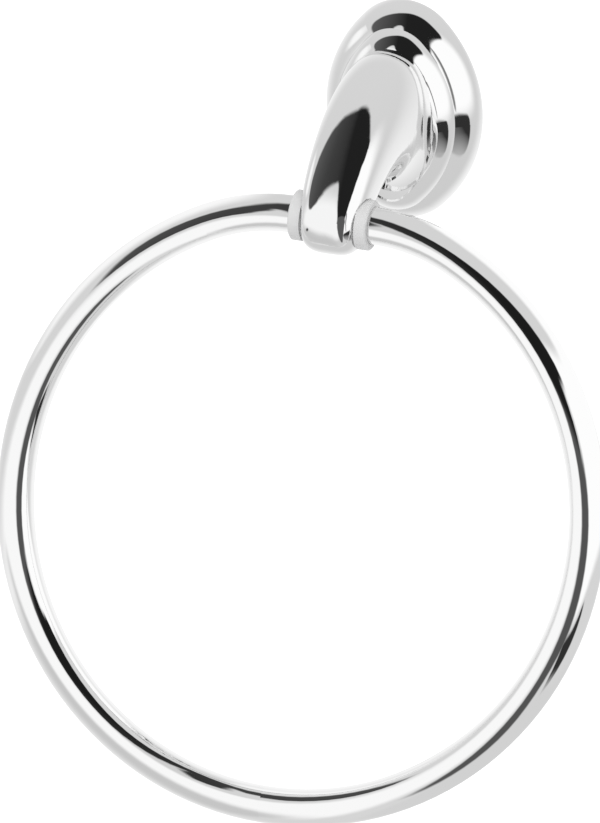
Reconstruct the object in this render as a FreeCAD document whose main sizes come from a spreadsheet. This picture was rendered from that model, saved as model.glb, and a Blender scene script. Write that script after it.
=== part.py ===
import FreeCAD, Part
import math
import os
import Sketcher
from types import SimpleNamespace
from FreeCAD import Placement, Rotation, Vector

# Towel ring. An oval escutcheon and its curved arm are cast in one piece, the post. A bent tube,
# the ring, swings in two flanged bushings at the arm's end. A plate that is screwed to the wall sits in
# the hollow of the post, which hooks over its top edge and is clamped to its bottom edge by a set screw.
# Millimetres and degrees. +Z is up, the wall is the plane Y = 0 and the room is on its -Y side. The
# origin is the middle of the escutcheon's back. "Depth" is measured from the wall into the room.

SIZES = {
    # Oval of the escutcheon, with two stacked mouldings round it and a groove at the arm's root
    "escutcheon_width": 41.8,
    "escutcheon_height": 60.0,
    "escutcheon_end_radius": 14.5,
    "rim_height": 0.8,
    "outer_moulding_width": 4.75,
    "outer_moulding_depth": 7.5,
    "outer_moulding_radius": 9.16,
    "inner_moulding_width": 4.2,
    "inner_moulding_depth": 4.9,
    "inner_moulding_radius": 7.36,
    "root_groove_width": 0.35,
    "root_groove_depth": 0.5,
    # Walls of the hollow back
    "rim_wall": 2.4,
    "rim_wall_height": 1.2,
    "shoulder_wall": 3.45,
    "floor_wall": 2.5,
    "floor_width": 3.7,
    # Arm, from its root on the escutcheon to the hub that carries the ring
    "arm_bite": 1.7,
    "arm_reach": 56.0,
    "bore_drop": 7.8,
    "hub_radius": 8.7,
    "hub_width": 15.6,
    "hub_seat_width": 14.6,
    "arm_narrowing": 0.87,
    "root_squareness": 2.2,
    "hub_squareness": 3.35,
    "arm_squaring": 2.6,
    "arm_end_angle": 20.0,
    "top_lead_reach": 21.5,
    "top_lead_rise": 8.9,
    "top_hub_lead": 12.6,
    "underside_lead_reach": 13.0,
    "underside_lead_rise": 20.5,
    "underside_hub_lead": 6.0,
    # Tapered pocket in the arm, from the hollow back
    "core_wall": 4.2,
    "core_depth": 26.0,
    "core_end_width": 11.0,
    "core_end_height": 19.0,
    "core_end_rise": 7.4,
    "core_corner_radius": 5.0,
    "core_overlap": 1.0,
    # Ring and the two bushings that it turns in
    "ring_radius": 76.2,
    "tube_diameter": 9.525,
    "tube_wall": 1.0,
    "tube_bend_radius": 51.0,
    "tube_end_gap": 3.0,
    "ring_swing": 20.9,
    "running_clearance": 0.06,
    "sleeve_wall": 0.9275,
    "sleeve_length": 4.9,
    "sleeve_clearance": 0.05,
    "collar_diameter": 12.9,
    "collar_width": 3.1,
    "collar_edge": 0.35,
    "collar_seat_margin": 0.3,
    "bend_clearance": 0.6,
    # Plate on the wall, and how the post sits on it
    "bracket_width": 18.0,
    "bracket_margin": 10.0,
    "bracket_thickness": 4.0,
    "bracket_bevel": 12.0,
    "wall_hole_spacing": 22.0,
    "wall_hole_diameter": 4.6,
    "countersink_diameter": 8.6,
    "countersink_angle": 90.0,
    "hook_clearance": 0.3,
    "hook_width": 8.0,
    "hook_back": 0.5,
    "hook_front": 3.4,
    "hook_bite": 0.4,
    # Set screw and its boss
    "screw_diameter": 3.0,
    "screw_length": 8.0,
    "screw_depth": 2.6,
    "screw_clearance": 0.05,
    "screw_gap": 0.1,
    "screw_socket_width": 1.5,
    "screw_socket_depth": 2.0,
    "screw_tip_chamfer": 0.5,
    "boss_width": 7.2,
    "boss_back": 0.4,
    "boss_front": 5.2,
    "boss_height": 5.5,
}

# Points round each section of the arm, sections along it, and the shares round the last section, from its
# middle at one side to the other side, that bound the half which the hub is turned from
SECTION_POINTS = 36
SECTION_COUNT = 9
HUB_HALF_SECTION = (0.25, 0.75)
SEWING_TOLERANCE = 1e-4


class Measure:
    """A number with the sheet expression that it comes from: a size is worked out in one place."""

    def __init__(self, value, text):
        self.value = value
        self.text = text

    def __add__(self, other):
        other = measure(other)
        return Measure(self.value + other.value, f"({self.text} + {other.text})")

    def __sub__(self, other):
        other = measure(other)
        return Measure(self.value - other.value, f"({self.text} - {other.text})")

    def __mul__(self, other):
        other = measure(other)
        return Measure(self.value * other.value, f"({self.text} * {other.text})")

    def __truediv__(self, other):
        other = measure(other)
        return Measure(self.value / other.value, f"({self.text} / {other.text})")

    def __neg__(self):
        return Measure(-self.value, f"(0 - {self.text})")

    def __rmul__(self, other):
        return measure(other) * self


def measure(number):
    return number if isinstance(number, Measure) else Measure(float(number), f"({float(number)})")


def root(square):
    return Measure(math.sqrt(square.value), f"sqrt({square.text})")


def tangent(angle):
    return Measure(math.tan(math.radians(angle.value)), f"tan({angle.text})")


def cosine(angle):
    return Measure(math.cos(math.radians(angle.value)), f"cos({angle.text})")


doc = FreeCAD.newDocument("towel_ring")
sheet = doc.addObject("Spreadsheet::Sheet", "sizes")
for row, (alias, number) in enumerate(SIZES.items(), start=1):
    sheet.set(f"A{row}", alias)
    sheet.set(f"B{row}", str(number))
    sheet.setAlias(f"B{row}", alias)
doc.recompute()
size = SimpleNamespace(**{alias: Measure(float(sheet.get(alias)), f"sizes.{alias}") for alias in SIZES})

worked_out = doc.addObject("Spreadsheet::Sheet", "worked_out")
worked_out_rows = []


def work_out(alias, result):
    """Keep a derived size in the second sheet, under its own name."""
    worked_out_rows.append(alias)
    row = len(worked_out_rows)
    worked_out.set(f"A{row}", alias)
    worked_out.set(f"B{row}", f"={result.text}")
    worked_out.setAlias(f"B{row}", alias)
    return Measure(result.value, f"worked_out.{alias}")


# Oval of four arcs: the ends have their own radius, and the sides are tangent to them
half_width = work_out("half_width", size.escutcheon_width / 2)
half_height = work_out("half_height", size.escutcheon_height / 2)
end_centre = work_out("end_centre", half_height - size.escutcheon_end_radius)
end_inset = work_out("end_inset", half_width - size.escutcheon_end_radius)
side_radius = work_out(
    "side_radius",
    (end_centre * end_centre + end_inset * (half_width + size.escutcheon_end_radius)) / (2 * end_inset),
)
side_centre = work_out("side_centre", side_radius - half_width)
centre_distance = work_out("centre_distance", side_radius - size.escutcheon_end_radius)
join_across = work_out("join_across", size.escutcheon_end_radius * side_centre / centre_distance)
join_up = work_out("join_up", end_centre + size.escutcheon_end_radius * end_centre / centre_distance)

# Steps of the moulded section, inwards from the rim and out from the wall
groove_inset = work_out("groove_inset", size.outer_moulding_width + size.inner_moulding_width)
floor_inset = work_out("floor_inset", groove_inset + size.root_groove_width)
outer_top = work_out("outer_top", size.rim_height + size.outer_moulding_depth)
inner_top = work_out("inner_top", outer_top + size.inner_moulding_depth)
floor_front = work_out("floor_front", inner_top - size.root_groove_depth)
floor_back = work_out("floor_back", floor_front - size.floor_wall)
hollow_inset = work_out("hollow_inset", size.outer_moulding_width + size.shoulder_wall)
hollow_slope = work_out(
    "hollow_slope", (hollow_inset - size.rim_wall) / (floor_back - size.rim_wall_height)
)

# Hub, bushings and ring
hub_half = work_out("hub_half", size.hub_width / 2)
seat_half = work_out("seat_half", size.hub_seat_width / 2)
tube_radius = work_out("tube_radius", size.tube_diameter / 2)
bushing_bore = work_out("bushing_bore", tube_radius + size.running_clearance)
sleeve_radius = work_out("sleeve_radius", bushing_bore + size.sleeve_wall)
hub_bore = work_out("hub_bore", sleeve_radius + size.sleeve_clearance)
collar_end = work_out("collar_end", seat_half + size.collar_width)
straight_end = work_out("straight_end", collar_end + size.bend_clearance)
bend_offset = work_out("bend_offset", size.ring_radius - size.tube_bend_radius)
ring_drop = work_out(
    "ring_drop", size.tube_bend_radius + root(bend_offset * bend_offset - straight_end * straight_end)
)
bend_ratio = work_out("bend_ratio", size.ring_radius / bend_offset)
bend_end_across = work_out("bend_end_across", straight_end * bend_ratio)
bend_end_up = work_out("bend_end_up", (ring_drop - size.tube_bend_radius) * bend_ratio - ring_drop)

# Plate, hook and set screw
bevel_slope = work_out("bevel_slope", tangent(size.bracket_bevel))
bracket_half = work_out("bracket_half", half_height - size.bracket_margin)
hook_gap = work_out("hook_gap", size.hook_clearance / cosine(size.bracket_bevel))
screw_tip_radius = work_out("screw_tip_radius", size.screw_diameter / 2 - size.screw_tip_chamfer)
screw_tip = work_out(
    "screw_tip", bracket_half + (size.screw_depth + screw_tip_radius) * bevel_slope + size.screw_gap
)
doc.recompute()


def origin_plane(body, role):
    return next(feature for feature in body.Origin.OriginFeatures if feature.Role == role)


def new_body(name):
    body = doc.addObject("PartDesign::Body", name)
    body.Label = name
    return body


def new_sketch(body, name, plane, offset=None):
    """Sketch on one of the body's own planes, moved along the plane's normal by a measure."""
    sketch = body.newObject("Sketcher::SketchObject", name)
    sketch.AttachmentSupport = (origin_plane(body, plane), [""])
    sketch.MapMode = "FlatFace"
    if offset is not None:
        sketch.AttachmentOffset = Placement(Vector(0, 0, offset.value), Rotation())
        sketch.setExpression("AttachmentOffset.Base.z", offset.text)
    return sketch


def hold(sketch, kind, elements, value):
    """Add a constraint whose value follows the sheets."""
    index = sketch.addConstraint(Sketcher.Constraint(kind, *elements, value.value))
    sketch.setExpression(f"Constraints[{index}]", value.text)


def hold_point(sketch, edge, end, point):
    hold(sketch, "DistanceX", (-1, 1, edge, end), measure(point[0]))
    hold(sketch, "DistanceY", (-1, 1, edge, end), measure(point[1]))


def short_arc(start, end, radius, turn):
    """The shorter arc between two points, anticlockwise; turn is 1 to the left and -1 to the right."""
    middle = (start + end) / 2
    half_chord = (end - start) / 2
    across = Vector(-half_chord.y, half_chord.x, 0).normalize()
    centre = middle + across * (turn * math.sqrt(radius ** 2 - half_chord.Length ** 2))
    first, last = (start, end) if turn > 0 else (end, start)
    angles = [math.atan2(point.y - centre.y, point.x - centre.x) for point in (first, last)]
    return Part.ArcOfCircle(Part.Circle(centre, Vector(0, 0, 1), radius), *angles)


def draw(sketch, corners, arcs=None, closed=True):
    """Draw sides through corners; arcs gives (radius, turn) for the round sides, by side number."""
    arcs = arcs or {}
    sides = len(corners) if closed else len(corners) - 1
    ends = []
    for side in range(sides):
        start, end = [
            Vector(*[measure(part).value for part in corners[number % len(corners)]], 0)
            for number in (side, side + 1)
        ]
        if side in arcs:
            radius, turn = arcs[side]
            edge = sketch.addGeometry(short_arc(start, end, radius.value, turn))
            hold(sketch, "Radius", (edge,), radius)
        else:
            turn = 1
            edge = sketch.addGeometry(Part.LineSegment(start, end))
        ends.append((edge, (1, 2) if turn > 0 else (2, 1)))
        hold_point(sketch, edge, ends[-1][1][0], corners[side])
    meetings = list(zip(ends, ends[1:]))
    if closed:
        meetings.append((ends[-1], ends[0]))
    else:
        hold_point(sketch, ends[-1][0], ends[-1][1][1], corners[-1])
    for (edge, points), (following, onward) in meetings:
        sketch.addConstraint(Sketcher.Constraint("Coincident", edge, points[1], following, onward[0]))
    return sketch


def draw_circle(sketch, centre, radius):
    middle = Vector(*[measure(part).value for part in centre], 0)
    edge = sketch.addGeometry(Part.Circle(middle, Vector(0, 0, 1), radius.value))
    hold(sketch, "Radius", (edge,), radius)
    hold_point(sketch, edge, 3, centre)
    return sketch


def place(item, across=0, depth=0, up=0, rotation=Rotation()):
    """Put an object at a place that follows the sheets."""
    position = {"x": measure(across), "y": -measure(depth), "z": measure(up)}
    item.Placement = Placement(Vector(*[part.value for part in position.values()]), rotation)
    for axis, part in position.items():
        item.setExpression(f"Placement.Base.{axis}", part.text)


def bind(item, **values):
    for name, value in values.items():
        item.setExpression(name, value.text)


def moulding():
    """Hollow rim of the escutcheon: the moulded section carried round the oval."""
    body = new_body("moulding")
    oval = draw(
        new_sketch(body, "oval", "XZ_Plane"),
        [
            (half_width, 0),
            (join_across, join_up),
            (-join_across, join_up),
            (-join_across, -join_up),
            (join_across, -join_up),
        ],
        {
            0: (side_radius, 1),
            1: (size.escutcheon_end_radius, 1),
            2: (side_radius, 1),
            3: (size.escutcheon_end_radius, 1),
            4: (side_radius, 1),
        },
    )
    floor_end = floor_inset + size.floor_width
    steps = [
        (0, 0),
        (0, size.rim_height),
        (size.outer_moulding_width, outer_top),
        (groove_inset, inner_top),
        (floor_inset, floor_front),
        (floor_end, floor_front),
        (floor_end, floor_back),
        (hollow_inset, floor_back),
        (size.rim_wall, size.rim_wall_height),
        (size.rim_wall, 0),
    ]
    section = draw(
        new_sketch(body, "moulding_section", "XY_Plane"),
        [(half_width - inset, -measure(depth)) for inset, depth in steps],
        {1: (size.outer_moulding_radius, -1), 2: (size.inner_moulding_radius, -1)},
    )
    rim = body.newObject("PartDesign::AdditivePipe", "rim")
    rim.Profile = section
    rim.Spine = oval
    return body


def bezier(poles, share):
    while len(poles) > 1:
        poles = [first + (second - first) * share for first, second in zip(poles, poles[1:])]
    return poles[0]


def side_point(depth, up):
    return Vector(0, -depth, up)


def arm_edges(share):
    """Top and underside of the arm in its middle plane, at a share of the way from root to hub."""
    start = (floor_front - size.arm_bite).value
    root_height = (half_height - floor_inset).value
    underside_rise = size.underside_lead_rise.value - root_height
    angle = math.radians(size.arm_end_angle.value)
    hub = side_point(size.arm_reach.value, -size.bore_drop.value)
    spoke = side_point(math.cos(angle), math.sin(angle)) * size.hub_radius.value
    down = side_point(math.sin(angle), -math.cos(angle))
    top = bezier(
        [
            side_point(start, root_height),
            side_point(start + size.top_lead_reach.value, root_height + size.top_lead_rise.value),
            hub + spoke - down * size.top_hub_lead.value,
            hub + spoke,
        ],
        share,
    )
    underside = bezier(
        [
            side_point(start, -root_height),
            side_point(start + size.underside_lead_reach.value, underside_rise),
            hub - spoke - down * size.underside_hub_lead.value,
            hub - spoke,
        ],
        share,
    )
    return top, underside


def arm_section(share):
    """Squared oval across the arm, as a closed curve that starts underneath."""
    top, underside = arm_edges(share)
    middle = (top + underside) / 2
    upwards = (top - underside) / 2
    root_half = (half_width - floor_inset).value
    side = hub_half.value + (root_half - hub_half.value) * (1 - share) ** size.arm_narrowing.value
    power = size.root_squareness.value
    power += (size.hub_squareness.value - power) * share ** size.arm_squaring.value
    points = []
    for number in range(SECTION_POINTS):
        angle = 2 * math.pi * number / SECTION_POINTS - math.pi / 2
        across, along = math.cos(angle), math.sin(angle)
        reach = (abs(across) ** power + abs(along) ** power) ** (-1 / power)
        points.append(middle + Vector(1, 0, 0) * (side * reach * across) + upwards * (reach * along))
    curve = Part.BSplineCurve()
    shares = [number / SECTION_POINTS for number in range(SECTION_POINTS + 1)]
    curve.interpolate(Points=points, PeriodicFlag=True, Parameters=shares)
    return curve


def arm():
    """Skin over the sections, closed by a flat face at each end."""
    curves = [arm_section(number / (SECTION_COUNT - 1)) for number in range(SECTION_COUNT)]
    skin = Part.BSplineSurface()
    skin.buildFromNSections(curves)
    ends = [Part.Face(Part.Wire(curve.toShape())) for curve in (curves[0], curves[-1])]
    shell = Part.Shell([skin.toShape(), *ends])
    shell.sewShape(SEWING_TOLERANCE)
    feature = doc.addObject("Part::Feature", "arm")
    feature.Shape = Part.Solid(shell)
    feature.Placement = Placement()
    return feature


def draw_rounded_block(sketch, half_across, half_up, rise, radius):
    """Rectangle with round corners, whose middle is raised by a measure."""
    across, up = half_across - radius, half_up - radius
    corner = (radius, 1)
    return draw(
        sketch,
        [
            (half_across, rise - up),
            (half_across, rise + up),
            (across, rise + half_up),
            (-across, rise + half_up),
            (-half_across, rise + up),
            (-half_across, rise - up),
            (-across, rise - half_up),
            (across, rise - half_up),
        ],
        {1: corner, 3: corner, 5: corner, 7: corner},
    )


def arm_core():
    """Drafted pocket into the arm from the hollow back; it climbs with the arm's underside."""
    body = new_body("arm_core")
    pocket = body.newObject("PartDesign::AdditiveLoft", "core_loft")
    pocket.Profile = draw_rounded_block(
        new_sketch(body, "core_mouth", "XZ_Plane", floor_back - size.core_overlap),
        half_width - floor_inset - size.core_wall,
        half_height - floor_inset - size.core_wall,
        measure(0),
        size.core_corner_radius,
    )
    pocket.Sections = [
        draw_rounded_block(
            new_sketch(body, "core_end", "XZ_Plane", size.core_depth),
            size.core_end_width / 2,
            size.core_end_height / 2,
            size.core_end_rise,
            size.core_corner_radius,
        )
    ]
    return body


def hub():
    """Round end of the arm: half of its last section, turned half a turn about the bore axis."""
    curve = arm_section(1.0)
    edge = curve.toShape(*HUB_HALF_SECTION)
    axis = Part.makeLine(edge.Vertexes[-1].Point, edge.Vertexes[0].Point)
    face = Part.Face(Part.Wire([edge, axis]))
    centre = side_point(size.arm_reach.value, -size.bore_drop.value)
    feature = doc.addObject("Part::Feature", "hub")
    feature.Shape = face.revolve(centre, Vector(1, 0, 0), 180)
    feature.Placement = Placement()
    return feature


def hook():
    """Rib inside the top of the escutcheon that drops behind the plate's bevelled edge."""
    body = new_body("hook")
    near = bracket_half + hook_gap
    far = half_height - size.rim_wall + size.hook_bite
    corners = [
        (size.hook_back, near + size.hook_back * bevel_slope),
        (size.hook_front, near + size.hook_front * bevel_slope),
        (size.hook_front, far - (size.hook_front - size.rim_wall_height) * hollow_slope),
        (size.rim_wall_height, far),
        (size.hook_back, far),
    ]
    section = draw(new_sketch(body, "hook_section", "YZ_Plane"), [(-depth, up) for depth, up in corners])
    rib = body.newObject("PartDesign::Pad", "hook_rib")
    rib.Profile = section
    rib.Midplane = True
    bind(rib, Length=size.hook_width)
    return body


def box(name, across, depth, up):
    """Block between (low, high) measures on each axis; depth runs from the wall into the room."""
    block = doc.addObject("Part::Box", name)
    bind(block, Length=across[1] - across[0], Width=depth[1] - depth[0], Height=up[1] - up[0])
    place(block, across[0], depth[1], up[0])
    return block


def rod(name, radius, length, across, depth, up, rotation):
    cylinder = doc.addObject("Part::Cylinder", name)
    bind(cylinder, Radius=radius, Height=length)
    place(cylinder, across, depth, up, rotation)
    return cylinder


def join(name, shapes):
    union = doc.addObject("Part::MultiFuse", name)
    union.Shapes = shapes
    return union


def post():
    """The casting: escutcheon, arm and hub, with its hook, screw boss, bore and holes."""
    along_x = Rotation(Vector(0, 1, 0), 90)
    downwards = Rotation(Vector(1, 0, 0), 180)
    boss_low = size.hook_bite + half_height - size.rim_wall
    boss = box(
        "screw_boss",
        (-size.boss_width / 2, size.boss_width / 2),
        (size.boss_back, size.boss_front),
        (-boss_low, size.boss_height - boss_low),
    )
    casting = join("casting", [moulding(), arm(), hub(), hook(), boss])
    seat_radius = size.collar_diameter / 2 + size.collar_seat_margin
    seat_depth = 2 * size.hub_width
    hub_place = (size.arm_reach, -size.bore_drop, along_x)
    cuts = [
        arm_core(),
        rod("hub_bore", hub_bore, 2 * size.hub_width, -size.hub_width, *hub_place),
        rod("right_seat", seat_radius, seat_depth, seat_half, *hub_place),
        rod("left_seat", seat_radius, seat_depth, -seat_half - seat_depth, *hub_place),
        rod(
            "screw_hole",
            size.screw_diameter / 2 + size.screw_clearance,
            half_height,
            measure(0),
            size.screw_depth,
            -bracket_half,
            downwards,
        ),
    ]
    piece = doc.addObject("Part::Cut", "post")
    piece.Base = casting
    piece.Tool = join("post_cuts", cuts)
    piece.Label = "post"
    piece.Placement = Placement()
    return piece


def ring():
    """Bent tube, its ends in line in the hub; drawn hanging from the bore axis, then swung forward."""
    body = new_body("ring")
    half_gap = size.tube_end_gap / 2
    bend = (size.tube_bend_radius, -1)
    loop = (size.ring_radius, -1)
    path = draw(
        new_sketch(body, "ring_path", "XZ_Plane"),
        [
            (half_gap, 0),
            (straight_end, 0),
            (bend_end_across, bend_end_up),
            (0, -ring_drop - size.ring_radius),
            (-bend_end_across, bend_end_up),
            (-straight_end, 0),
            (-half_gap, 0),
        ],
        {1: bend, 2: loop, 3: loop, 4: bend},
        closed=False,
    )
    section = new_sketch(body, "tube_section", "YZ_Plane", half_gap)
    draw_circle(section, (0, 0), tube_radius)
    draw_circle(section, (0, 0), tube_radius - size.tube_wall)
    tube = body.newObject("PartDesign::AdditivePipe", "tube")
    tube.Profile = section
    tube.Spine = path
    place(body, 0, size.arm_reach, -size.bore_drop, Rotation(Vector(1, 0, 0), -size.ring_swing.value))
    bind(body, **{"Placement.Rotation.Angle": -size.ring_swing})
    return body


def bushing(name, rotation):
    """Sleeve in the hub's bore with a collar against the seat, turned about the bore axis."""
    body = new_body(name)
    collar_radius = size.collar_diameter / 2
    section = draw(
        new_sketch(body, name + "_section", "XY_Plane"),
        [
            (seat_half - size.sleeve_length, bushing_bore),
            (collar_end, bushing_bore),
            (collar_end, collar_radius - size.collar_edge),
            (collar_end - size.collar_edge, collar_radius),
            (seat_half, collar_radius),
            (seat_half, sleeve_radius),
            (seat_half - size.sleeve_length, sleeve_radius),
        ],
    )
    turned = body.newObject("PartDesign::Revolution", name + "_turned")
    turned.Profile = section
    turned.ReferenceAxis = (origin_plane(body, "X_Axis"), [""])
    turned.Angle = 360
    place(body, 0, size.arm_reach, -size.bore_drop, rotation)
    return body


def wall_bracket():
    """Plate with round ends and a bevelled edge, wider at the front, and two countersunk holes."""
    body = new_body("wall_bracket")
    end_radius = size.bracket_width / 2
    straight = bracket_half - end_radius
    plate_outline = draw(
        new_sketch(body, "plate_outline", "XZ_Plane"),
        [
            (end_radius, -straight),
            (end_radius, straight),
            (0, bracket_half),
            (-end_radius, straight),
            (-end_radius, -straight),
            (0, -bracket_half),
        ],
        {1: (end_radius, 1), 2: (end_radius, 1), 4: (end_radius, 1), 5: (end_radius, 1)},
    )
    plate = body.newObject("PartDesign::Pad", "plate")
    plate.Profile = plate_outline
    bind(plate, Length=size.bracket_thickness, TaperAngle=size.bracket_bevel)
    marks = new_sketch(body, "wall_hole_centres", "XZ_Plane", size.bracket_thickness)
    for side in (1, -1):
        draw_circle(marks, (0, side * size.wall_hole_spacing / 2), size.wall_hole_diameter / 2)
    doc.recompute()
    holes = body.newObject("PartDesign::Hole", "wall_holes")
    holes.Profile = marks
    holes.DepthType = "ThroughAll"
    holes.HoleCutType = "Countersink"
    bind(
        holes,
        Diameter=size.wall_hole_diameter,
        HoleCutDiameter=size.countersink_diameter,
        HoleCutCountersinkAngle=size.countersink_angle,
    )
    body.Placement = Placement()
    return body


def set_screw():
    """Headless screw with a hexagon socket, under the escutcheon, its tip just clear of the plate."""
    body = new_body("set_screw")
    radius = size.screw_diameter / 2
    turned = body.newObject("PartDesign::Revolution", "screw_turned")
    section = draw(
        new_sketch(body, "screw_section", "XZ_Plane"),
        [
            (0, 0),
            (screw_tip_radius, 0),
            (radius, -size.screw_tip_chamfer),
            (radius, -size.screw_length),
            (0, -size.screw_length),
        ],
    )
    turned.Profile = section
    turned.ReferenceAxis = (origin_plane(body, "Z_Axis"), [""])
    turned.Angle = 360
    across = size.screw_socket_width / 2
    corner = across * 2 / math.sqrt(3)
    hexagon = draw(
        new_sketch(body, "socket_outline", "XY_Plane", -size.screw_length),
        [
            (across, corner / 2),
            (0, corner),
            (-across, corner / 2),
            (-across, -corner / 2),
            (0, -corner),
            (across, -corner / 2),
        ],
    )
    socket = body.newObject("PartDesign::Pocket", "socket")
    socket.Profile = hexagon
    socket.Reversed = True
    bind(socket, Length=size.screw_socket_depth)
    place(body, 0, size.screw_depth, -screw_tip)
    return body


def check_and_write(pieces):
    """Stop at any object that failed, then write one file for each piece."""
    for item in doc.Objects:
        if "Invalid" in item.State or "Error" in item.State:
            raise RuntimeError(f"{item.Label} failed: {item.State}")
    os.makedirs("parts", exist_ok=True)
    for piece in pieces:
        if piece.Shape.isNull() or not piece.Shape.isValid():
            raise RuntimeError(f"{piece.Label} has no valid shape")
        print(piece.Label, len(piece.Shape.Solids), round(piece.Shape.Volume, 3))
        piece.Shape.exportStep(os.path.join("parts", piece.Label + ".step"))


pieces = [
    post(),
    ring(),
    bushing("right_bushing", Rotation()),
    bushing("left_bushing", Rotation(Vector(0, 0, 1), 180)),
    wall_bracket(),
    set_screw(),
]
doc.recompute()
check_and_write(pieces)
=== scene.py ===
import math
from collections import namedtuple

import bpy
import numpy as np
from mathutils import Matrix, Vector


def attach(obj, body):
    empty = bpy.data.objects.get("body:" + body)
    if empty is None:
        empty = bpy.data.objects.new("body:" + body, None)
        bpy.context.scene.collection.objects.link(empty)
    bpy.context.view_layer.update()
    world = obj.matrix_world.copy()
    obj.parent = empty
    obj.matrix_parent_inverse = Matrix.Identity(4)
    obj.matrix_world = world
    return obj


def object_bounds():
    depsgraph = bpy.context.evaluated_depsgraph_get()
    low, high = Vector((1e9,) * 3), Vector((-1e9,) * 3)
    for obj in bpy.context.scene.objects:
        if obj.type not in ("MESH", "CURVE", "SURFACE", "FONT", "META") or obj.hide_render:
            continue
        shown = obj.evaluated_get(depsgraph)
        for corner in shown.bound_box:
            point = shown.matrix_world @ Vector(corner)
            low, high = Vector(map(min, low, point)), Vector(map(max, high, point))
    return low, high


# Towel ring in chrome on a white ground. Chrome shows what stands round it, so two tents that only mirrors
# see stand round the object, painted with pale, white and black cards. The ring mirrors one of them, and the
# rest of the object the other. Metres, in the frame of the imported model: +Z up, the wall at Y = 0, the room
# towards -Y.

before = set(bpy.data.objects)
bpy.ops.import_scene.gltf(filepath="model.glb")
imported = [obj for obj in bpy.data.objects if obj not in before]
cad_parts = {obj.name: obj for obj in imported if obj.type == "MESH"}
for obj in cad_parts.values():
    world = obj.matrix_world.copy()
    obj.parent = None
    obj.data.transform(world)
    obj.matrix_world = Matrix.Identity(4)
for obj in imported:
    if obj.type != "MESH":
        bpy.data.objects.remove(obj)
cad_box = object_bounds()

# Camera: a long lens, seen from the right and above
CAMERA_AZIMUTH = math.radians(19.3)
CAMERA_ELEVATION = math.radians(25.5)
CAMERA_DISTANCE = 3.0
CAMERA_REACH = 100.0
SENSOR_LONG_SIDE = 36.0
PICTURE_WIDTH = 600
PICTURE_HEIGHT = 823
PIXELS_PER_METRE = 3900.0
ORIGIN_PIXEL = (405.7, 106.65)

# Floor, sky and lamps
WHITE = (1.0, 1.0, 1.0, 1.0)
FLOOR_DROP = 0.42
FLOOR_SIZE = 12.0
FLOOR_TINT = (0.93, 0.93, 0.935, 1.0)
FLOOR_LIFT = 0.45
SKY_SHADE = 0.72
LAMP_CENTRE = Vector((0.0, -0.055, -0.06))
LAMP_DISTANCE = 2.2
LAMP_SIZE = 1.2
# Azimuth and elevation in degrees, and watts
LAMPS = {"key_lamp": (-35.0, 50.0, 14.0), "fill_lamp": (70.0, 35.0, 8.0)}

# Finishes
CHROME_TINT = (0.935, 0.935, 0.935, 1.0)
HAIRLINE_HEIGHT = 0.0000004
NYLON_DARKER = (0.68, 0.68, 0.68, 1.0)
NYLON_PALER = (0.74, 0.74, 0.74, 1.0)
NYLON_SKIN_HEIGHT = 0.000012
BRACKET_TINT = (0.62, 0.63, 0.66)
SCREW_TINT = (0.34, 0.35, 0.37)
STEEL_PATCH_SHADE = 0.82
STEEL_GRAIN_HEIGHT = 0.00002

# Tents. A place on one is (right, up) of the unit normal of the chrome that mirrors it into the lens
RING_TENT_CENTRE = (0.014, -0.127, -0.072)
RING_TENT_RADIUS = 0.15
POST_TENT_CENTRE = (0.05, -0.03, -0.005)
POST_TENT_RADIUS = 0.28
TENT_RINGS = 201
TENT_SPOKES = 720
WALL_RADIUS = 0.94
CORNER_ROUNDS = 2
CORNER_CUT = 0.25
DISC_POINTS = 48


def camera_axes():
    """Right, up and back of the camera, as the rows of the view."""
    sin_a, cos_a = math.sin(CAMERA_AZIMUTH), math.cos(CAMERA_AZIMUTH)
    sin_e, cos_e = math.sin(CAMERA_ELEVATION), math.cos(CAMERA_ELEVATION)
    right = Vector((cos_a, sin_a, 0.0))
    back = Vector((sin_a * cos_e, -cos_a * cos_e, sin_e))
    return right, back.cross(right), back


RIGHT, UP, BACK = camera_axes()


def add_camera():
    data = bpy.data.cameras.new("camera")
    data.sensor_width = SENSOR_LONG_SIDE
    data.lens = SENSOR_LONG_SIDE * CAMERA_DISTANCE * PIXELS_PER_METRE / PICTURE_HEIGHT
    data.clip_end = CAMERA_REACH
    camera = bpy.data.objects.new("camera", data)
    bpy.context.scene.collection.objects.link(camera)
    across = (PICTURE_WIDTH / 2 - ORIGIN_PIXEL[0]) / PIXELS_PER_METRE
    down = (PICTURE_HEIGHT / 2 - ORIGIN_PIXEL[1]) / PIXELS_PER_METRE
    place = RIGHT * across - UP * down + BACK * CAMERA_DISTANCE
    turn = Matrix((RIGHT, UP, BACK)).transposed().to_4x4()
    camera.matrix_world = Matrix.Translation(place) @ turn
    bpy.context.scene.camera = camera


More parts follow.
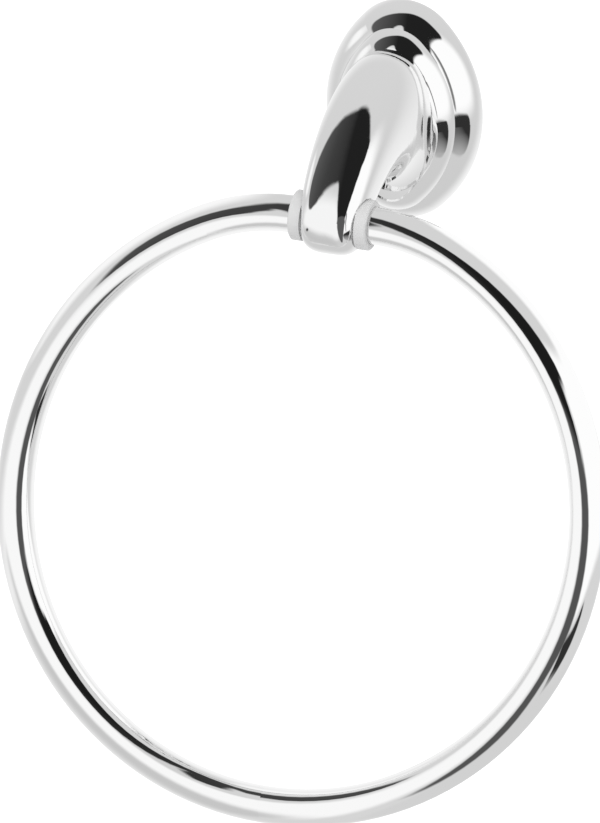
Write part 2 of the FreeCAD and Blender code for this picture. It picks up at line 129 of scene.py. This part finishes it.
class Material:
    """A node material that is built up one node at a time."""

    def __init__(self, name):
        self.material = bpy.data.materials.new(name)
        self.material.use_nodes = True
        self.tree = self.material.node_tree
        self.tree.nodes.clear()
        self.output = self.add("ShaderNodeOutputMaterial")

    def add(self, kind, inputs=None, **settings):
        node = self.tree.nodes.new(kind)
        for name, value in settings.items():
            setattr(node, name, value)
        for name, value in (inputs or {}).items():
            self.set(node, name, value)
        return node

    def set(self, node, name, value):
        """Give an input a plain value, or link it when the value is another node's output."""
        if isinstance(value, bpy.types.NodeSocket):
            self.tree.links.new(value, node.inputs[name])
        else:
            node.inputs[name].default_value = value

    def noise(self, scale, detail=2.0, stretch=(1.0, 1.0, 1.0)):
        """Noise in the object's own metres, scale in cycles per metre."""
        place = self.add("ShaderNodeTexCoord").outputs["Object"]
        mapping = self.add("ShaderNodeMapping", {"Vector": place, "Scale": stretch})
        inputs = {"Vector": mapping.outputs[0], "Scale": scale, "Detail": detail}
        return self.add("ShaderNodeTexNoise", inputs).outputs["Fac"]

    def spread(self, value, low, high):
        """Map a 0 to 1 value onto a range."""
        node = self.add("ShaderNodeMapRange", {"Value": value, "To Min": low, "To Max": high})
        return node.outputs["Result"]

    def bump(self, height, distance, under=None):
        node = self.add("ShaderNodeBump", {"Height": height, "Distance": distance, "Strength": 1.0})
        if under is not None:
            self.set(node, "Normal", under)
        return node.outputs["Normal"]

    def surface(self, shader):
        self.tree.links.new(shader, self.output.inputs["Surface"])
        return self.material


def chrome(name, wave_length, wave_height):
    """Polished chrome plate: a mirror with the faintest waviness, hairlines and a few duller patches."""
    made = Material(name)
    haze = made.noise(scale=90.0, detail=3.0)
    waves = made.bump(made.noise(scale=1 / wave_length, detail=1.0), wave_height)
    scratches = made.noise(scale=2600.0, stretch=(1.0, 0.08, 1.0))
    hairlines = made.bump(scratches, HAIRLINE_HEIGHT, under=waves)
    shader = made.add(
        "ShaderNodeBsdfPrincipled",
        {
            "Base Color": CHROME_TINT,
            "Metallic": 1.0,
            "Roughness": made.spread(haze, low=0.015, high=0.05),
            "Normal": hairlines,
        },
    )
    return made.surface(shader.outputs[0])


def nylon(name):
    """Pale grey moulded plastic with a satin skin."""
    made = Material(name)
    skin = made.noise(scale=5200.0, detail=3.0)
    mottle = made.noise(scale=240.0)
    colour = made.add(
        "ShaderNodeMix",
        {"Factor": mottle, "A": NYLON_DARKER, "B": NYLON_PALER},
        data_type="RGBA",
    )
    shader = made.add(
        "ShaderNodeBsdfPrincipled",
        {
            "Base Color": colour.outputs["Result"],
            "Roughness": made.spread(skin, low=0.38, high=0.5),
            "Normal": made.bump(skin, NYLON_SKIN_HEIGHT),
        },
    )
    return made.surface(shader.outputs[0])


def plated_steel(name, tint, grain):
    """Dull plated steel with a fine rolled grain."""
    made = Material(name)
    lines = made.noise(scale=900.0, detail=4.0, stretch=grain)
    patches = made.noise(scale=150.0, detail=3.0)
    darker = tuple(part * STEEL_PATCH_SHADE for part in tint)
    colour = made.add(
        "ShaderNodeMix",
        {"Factor": patches, "A": (*darker, 1.0), "B": (*tint, 1.0)},
        data_type="RGBA",
    )
    shader = made.add(
        "ShaderNodeBsdfPrincipled",
        {
            "Base Color": colour.outputs["Result"],
            "Metallic": 1.0,
            "Roughness": made.spread(lines, low=0.28, high=0.46),
            "Normal": made.bump(lines, STEEL_GRAIN_HEIGHT),
        },
    )
    return made.surface(shader.outputs[0])


def dress(node, material):
    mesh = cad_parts[node].data
    mesh.materials.clear()
    mesh.materials.append(material)


def seen_directly(tree):
    """1 for camera, mirror and glass rays, 0 for the rays that light the object."""
    path = tree.nodes.new("ShaderNodeLightPath")
    total = path.outputs["Is Camera Ray"]
    for name in ("Is Glossy Ray", "Is Transmission Ray"):
        join = tree.nodes.new("ShaderNodeMath")
        join.operation = "MAXIMUM"
        tree.links.new(total, join.inputs[0])
        tree.links.new(path.outputs[name], join.inputs[1])
        total = join.outputs[0]
    return total


def add_world():
    """White where it is seen, and a soft even sky where it only lights."""
    world = bpy.data.worlds.new("studio")
    bpy.context.scene.world = world
    world.use_nodes = True
    tree = world.node_tree
    tree.nodes.clear()
    mix = tree.nodes.new("ShaderNodeMix")
    mix.data_type = "RGBA"
    tree.links.new(seen_directly(tree), mix.inputs["Factor"])
    mix.inputs["A"].default_value = (SKY_SHADE, SKY_SHADE, SKY_SHADE, 1.0)
    mix.inputs["B"].default_value = WHITE
    background = tree.nodes.new("ShaderNodeBackground")
    tree.links.new(mix.outputs["Result"], background.inputs["Color"])
    output = tree.nodes.new("ShaderNodeOutputWorld")
    tree.links.new(background.outputs[0], output.inputs["Surface"])


def add_floor():
    """Pale floor well below the ring, lifted to white where it is seen; its shadows stay."""
    low = cad_box[0].z - FLOOR_DROP
    half = FLOOR_SIZE / 2
    mesh = bpy.data.meshes.new("floor")
    corners = [(-half, -half, low), (half, -half, low), (half, half, low), (-half, half, low)]
    mesh.from_pydata(corners, [], [(0, 1, 2, 3)])
    floor = bpy.data.objects.new("floor", mesh)
    bpy.context.scene.collection.objects.link(floor)
    made = Material("pale_floor")
    diffuse = made.add("ShaderNodeBsdfDiffuse", {"Color": FLOOR_TINT})
    lift = made.add("ShaderNodeMath", {0: seen_directly(made.tree), 1: FLOOR_LIFT}, operation="MULTIPLY")
    glow = made.add("ShaderNodeEmission", {"Color": WHITE, "Strength": lift.outputs[0]})
    both = made.add("ShaderNodeAddShader", {0: diffuse.outputs[0], 1: glow.outputs[0]})
    mesh.materials.append(made.surface(both.outputs[0]))


Card = namedtuple("Card", "outline tone feather")


def disc(radius):
    """Outline of a disc about the middle of a tent."""
    turns = [2 * math.pi * number / DISC_POINTS for number in range(DISC_POINTS)]
    return [(radius * math.cos(turn), radius * math.sin(turn)) for turn in turns]


# Cards of the tents, drawn and laid on in this order. The tone is one number, or two with the start
# and the end of the line along which the first fades to the second. The feather is the softness of the edge.
POST_CARDS = {
    "wall": Card(
        outline=disc(WALL_RADIUS),
        tone=(0.64, 0.70, (0.0, -0.8), (0.0, 0.7)),
        feather=0.10,
    ),
    "glint": Card(
        outline=[
            (-0.80, 0.20), (-0.77, 0.36), (-0.70, 0.38), (-0.69, 0.20),
        ],
        tone=1.0,
        feather=0.03,
    ),
    "white_left": Card(
        outline=[
            (-0.80, -0.10), (-0.66, 0.18), (-0.20, 0.20), (-0.14, -0.12), (-0.14, -0.46), (-0.24, -0.54),
            (-0.48, -0.28),
        ],
        tone=0.97,
        feather=0.08,
    ),
    "grey_band": Card(
        outline=[
            (-0.74, -0.26), (-0.66, -0.24), (-0.26, -0.58), (-0.24, -0.68), (-0.34, -0.70),
            (-0.70, -0.40),
        ],
        tone=0.58,
        feather=0.07,
    ),
    "white_right": Card(
        outline=[
            (0.0, 0.10), (0.10, 0.30), (0.46, 0.35), (0.64, 0.30), (0.76, 0.12), (0.76, -0.10),
            (0.64, -0.24), (0.42, -0.34), (0.23, -0.38), (0.06, -0.38), (0.0, -0.10),
        ],
        tone=1.05,
        feather=0.08,
    ),
    # Dark card, mirrored as the leaf-shaped dark reflection on the arm and the patches atop both mouldings
    "dark_high": Card(
        outline=[
            (-0.64, 0.22), (-0.62, 0.36), (-0.50, 0.47), (-0.35, 0.54), (-0.20, 0.58), (-0.05, 0.60),
            (0.10, 0.57), (0.22, 0.51), (0.34, 0.42), (0.46, 0.33), (0.30, 0.22), (0.20, 0.13),
            (0.12, 0.05), (0.04, -0.10), (-0.20, -0.10), (-0.24, 0.12), (-0.24, 0.27), (-0.30, 0.27),
            (-0.36, 0.22), (-0.42, 0.14), (-0.57, 0.07),
        ],
        tone=(0.10, 0.015, (-0.65, 0.1), (-0.25, 0.0)),
        feather=0.014,
    ),
    # Dark card, mirrored as the stem of the dark leaf, down the hub
    "dark_column": Card(
        outline=[
            (-0.22, 0.02), (0.10, -0.02), (0.10, -0.20), (0.04, -0.40), (0.0, -0.62), (-0.08, -0.62),
            (-0.18, -0.42), (-0.22, -0.14),
        ],
        tone=0.10,
        feather=0.014,
    ),
    # Dark card, mirrored as dark patches low on the right of both mouldings, which fade downwards
    "dark_low": Card(
        outline=[
            (0.04, -0.40), (0.22, -0.36), (0.42, -0.32), (0.64, -0.26), (0.64, -0.46), (0.50, -0.58),
            (0.26, -0.58), (0.06, -0.52),
        ],
        tone=(0.03, 0.45, (0.40, -0.42), (0.40, -0.56)),
        feather=0.014,
    ),
    "thin_line": Card(
        outline=[
            (0.08, 0.02), (0.14, 0.02), (0.20, -0.12), (0.24, -0.34), (0.20, -0.34), (0.16, -0.14),
        ],
        tone=0.2,
        feather=0.012,
    ),
    # Small dark card, mirrored as a dark spot at the left of the hub
    "spot": Card(
        outline=[
            (-0.66, -0.26), (-0.61, -0.21), (-0.56, -0.26), (-0.61, -0.31),
        ],
        tone=0.03,
        feather=0.02,
    ),
}
RING_CARDS = {
    "wall": Card(
        outline=disc(WALL_RADIUS),
        tone=(0.71, 0.69, (0.0, -0.8), (0.0, 0.7)),
        feather=0.08,
    ),
    "white_left": Card(
        outline=[
            (-0.94, -0.20), (-0.84, 0.15), (-0.58, 0.26), (-0.46, 0.16), (-0.36, 0.06), (-0.25, 0.05),
            (-0.12, -0.15), (-0.08, -0.40), (-0.10, -0.80), (-0.36, -0.58), (-0.66, -0.25),
        ],
        tone=1.0,
        feather=0.08,
    ),
    "white_high_left": Card(
        outline=[
            (-0.76, 0.42), (-0.64, 0.68), (-0.30, 0.91), (-0.05, 0.93), (-0.14, 0.80), (-0.45, 0.68),
            (-0.62, 0.55),
        ],
        tone=1.0,
        feather=0.05,
    ),
    "grey_band": Card(
        outline=[
            (-0.86, 0.02), (-0.75, -0.20), (-0.50, -0.52), (-0.20, -0.72), (-0.30, -0.85), (-0.60, -0.64),
            (-0.82, -0.32),
        ],
        tone=0.60,
        feather=0.05,
    ),
    "white_right": Card(
        outline=[
            (0.36, 0.30), (0.32, 0.38), (0.60, 0.43), (0.48, 0.58), (0.24, 0.74), (0.34, 0.88),
            (0.68, 0.64), (0.88, 0.30), (0.80, 0.0), (0.64, -0.12), (0.46, -0.24), (0.34, -0.24),
            (0.26, 0.05), (0.22, 0.22),
        ],
        tone=1.05,
        feather=0.035,
    ),
    "dark_high": Card(
        outline=[
            (-0.56, 0.29), (-0.55, 0.49), (-0.47, 0.60), (-0.30, 0.62), (-0.15, 0.73), (-0.02, 0.74),
            (0.0, 0.49), (0.12, 0.46), (0.30, 0.40), (0.38, 0.29), (0.16, 0.21), (0.16, 0.04),
            (-0.24, 0.03), (-0.29, 0.11), (-0.32, 0.32), (-0.41, 0.27),
        ],
        tone=(0.08, 0.012, (-0.6, 0.45), (-0.12, 0.2)),
        feather=0.02,
    ),
    "dark_column": Card(
        outline=[
            (-0.24, 0.06), (0.13, 0.09), (0.24, 0.06), (0.38, -0.26), (0.27, -0.38), (0.32, -0.53),
            (0.14, -0.63), (-0.02, -0.64), (0.0, -0.32), (-0.08, -0.11), (-0.24, 0.0),
        ],
        tone=0.09,
        feather=0.04,
    ),
    # The streaks part the dark into separate lines
    "light_streak": Card(
        outline=[
            (-0.40, 0.10), (-0.38, 0.32), (-0.29, 0.47), (-0.24, 0.57), (-0.32, 0.32), (-0.34, 0.10),
        ],
        tone=0.7,
        feather=0.01,
    ),
    "second_streak": Card(
        outline=[
            (-0.34, 0.14), (-0.29, 0.26), (-0.18, 0.44), (-0.12, 0.60), (-0.18, 0.40), (-0.25, 0.20),
            (-0.28, 0.11),
        ],
        tone=0.66,
        feather=0.01,
    ),
    "dark_low": Card(
        outline=[
            (0.32, -0.28), (0.48, -0.28), (0.59, -0.18), (0.61, -0.32), (0.46, -0.47), (0.41, -0.40),
            (0.35, -0.32),
        ],
        tone=0.03,
        feather=0.015,
    ),
    "grey_low_right": Card(
        outline=[
            (0.32, -0.40), (0.70, -0.44), (0.84, -0.28), (0.78, -0.65), (0.52, -0.86), (0.10, -0.92),
            (0.06, -0.70), (0.27, -0.57),
        ],
        tone=0.68,
        feather=0.05,
    ),
}


def rounded(outline):
    """Outline with its corners rounded off, as an array of points."""
    points = np.array(outline)
    for _ in range(CORNER_ROUNDS):
        onward = np.roll(points, -1, axis=0)
        early = points * (1 - CORNER_CUT) + onward * CORNER_CUT
        late = points * CORNER_CUT + onward * (1 - CORNER_CUT)
        points = np.stack((early, late), axis=1).reshape(-1, 2)
    return points


def depth_inside(outline, places):
    """Distance of each place from the outline, positive inside it."""
    nearest = np.full(len(places), np.inf)
    inside = np.zeros(len(places), dtype=bool)
    for start, end in zip(outline, np.roll(outline, -1, axis=0)):
        side = end - start
        share = np.clip((places - start) @ side / (side @ side), 0.0, 1.0)
        gap = places - start - share[:, None] * side
        nearest = np.minimum(nearest, np.einsum("ij,ij->i", gap, gap))
        crosses = (start[1] > places[:, 1]) != (end[1] > places[:, 1])
        rise = side[1] if side[1] else 1.0
        inside ^= crosses & (places[:, 0] < start[0] + side[0] * (places[:, 1] - start[1]) / rise)
    return np.where(inside, 1.0, -1.0) * np.sqrt(nearest)


def fading(places, first, second, start, end):
    """From the first tone at the start of the line to the second at its end."""
    line = np.subtract(end, start)
    return first + (second - first) * np.clip((places - start) @ line / (line @ line), 0.0, 1.0)


def painted(places, cards):
    """Shade of a tent at each place: white, with the cards laid on one after another."""
    shade = np.ones(len(places))
    for outline, tone, feather in cards.values():
        share = np.clip((depth_inside(rounded(outline), places) / feather + 1) / 2, 0.0, 1.0)
        # Ease in and out, so that the soft edge shows no line
        share = share * share * (3 - 2 * share)
        if isinstance(tone, tuple):
            tone = fading(places, *tone)
        shade += (tone - shade) * share
    return shade


def tent_mesh(name, centre, radius, cards):
    """Closed sphere on a round grid of places, whose vertices carry the shades of the cards."""
    radii = np.linspace(0.0, 1.0, TENT_RINGS)
    turns = np.linspace(0.0, 2 * math.pi, TENT_SPOKES, endpoint=False)
    across, upward = np.outer(radii, np.cos(turns)), np.outer(radii, np.sin(turns))
    places = np.stack((across, upward), axis=-1).reshape(-1, 2)
    towards = np.sqrt(np.clip(1.0 - (places**2).sum(axis=1), 0.0, 1.0))[:, None]
    normal = places[:, :1] * np.array(RIGHT) + places[:, 1:] * np.array(UP) + towards * np.array(BACK)
    vertices = np.array(centre) + (2 * towards * normal - np.array(BACK)) * radius
    number = np.arange(len(places)).reshape(TENT_RINGS, TENT_SPOKES)
    onward = np.roll(number, -1, axis=1)
    cells = np.stack((number[:-1], number[1:], onward[1:], onward[:-1]), axis=-1).reshape(-1, 4)
    mesh = bpy.data.meshes.new(name)
    mesh.from_pydata(vertices.tolist(), [], cells.tolist())
    shades = mesh.attributes.new("shade", "FLOAT", "POINT")
    shades.data.foreach_set("value", painted(places, cards))
    return mesh


def add_tent(name, mesh, mirrored_in, body, see_through):
    """Let the mesh glow in its own shades for the nodes of mirrored_in alone. It goes with the body."""
    tent = bpy.data.objects.new(name, mesh)
    bpy.context.scene.collection.objects.link(tent)
    made = Material(name)
    shade = made.add("ShaderNodeAttribute", attribute_name="shade")
    glow = made.add("ShaderNodeEmission", {"Color": WHITE, "Strength": shade.outputs["Fac"]})
    if see_through:
        clear = made.add("ShaderNodeBsdfTransparent")
        glow = made.add("ShaderNodeAddShader", {0: glow.outputs[0], 1: clear.outputs[0]})
    mesh.materials.append(made.surface(glow.outputs[0]))
    tent.visible_camera = False
    tent.visible_diffuse = False
    tent.visible_shadow = False
    mirrors = bpy.data.collections.new("mirrors_of_" + name)
    for node in mirrored_in:
        mirrors.objects.link(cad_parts[node])
    tent.light_linking.receiver_collection = mirrors
    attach(tent, body)


def add_lamps():
    """Two soft lamps, high on both sides of the camera."""
    for name, (azimuth, elevation, watts) in LAMPS.items():
        data = bpy.data.lights.new(name, "AREA")
        data.shape = "DISK"
        data.size = LAMP_SIZE
        data.energy = watts
        lamp = bpy.data.objects.new(name, data)
        bpy.context.scene.collection.objects.link(lamp)
        turn, rise = math.radians(azimuth), math.radians(elevation)
        away = Vector((math.sin(turn) * math.cos(rise), -math.cos(turn) * math.cos(rise), math.sin(rise)))
        lamp.location = LAMP_CENTRE + away * LAMP_DISTANCE
        lamp.rotation_mode = "QUATERNION"
        lamp.rotation_quaternion = away.to_track_quat("Z", "Y")
        lamp.visible_glossy = False


add_camera()
dress("post", chrome("cast_chrome", wave_length=0.022, wave_height=0.00002))
dress("ring", chrome("tube_chrome", wave_length=0.030, wave_height=0.00001))
bushing_material = nylon("pale_nylon")
dress("left_bushing", bushing_material)
dress("right_bushing", bushing_material)
dress("wall_bracket", plated_steel("plated_steel", BRACKET_TINT, grain=(1.0, 1.0, 0.1)))
dress("set_screw", plated_steel("screw_steel", SCREW_TINT, grain=(1.0, 1.0, 8.0)))
add_world()
add_floor()
others = [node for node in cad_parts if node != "ring"]
# The ring's tent stands inside the other one, so it is see-through
ring_tent = tent_mesh("ring_tent", RING_TENT_CENTRE, RING_TENT_RADIUS, RING_CARDS)
post_tent = tent_mesh("post_tent", POST_TENT_CENTRE, POST_TENT_RADIUS, POST_CARDS)
add_tent("ring_tent", ring_tent, mirrored_in=["ring"], body="ring", see_through=True)
add_tent("post_tent", post_tent, mirrored_in=others, body="fixed", see_through=False)
add_lamps()
bpy.context.scene.view_settings.view_transform = "Standard"
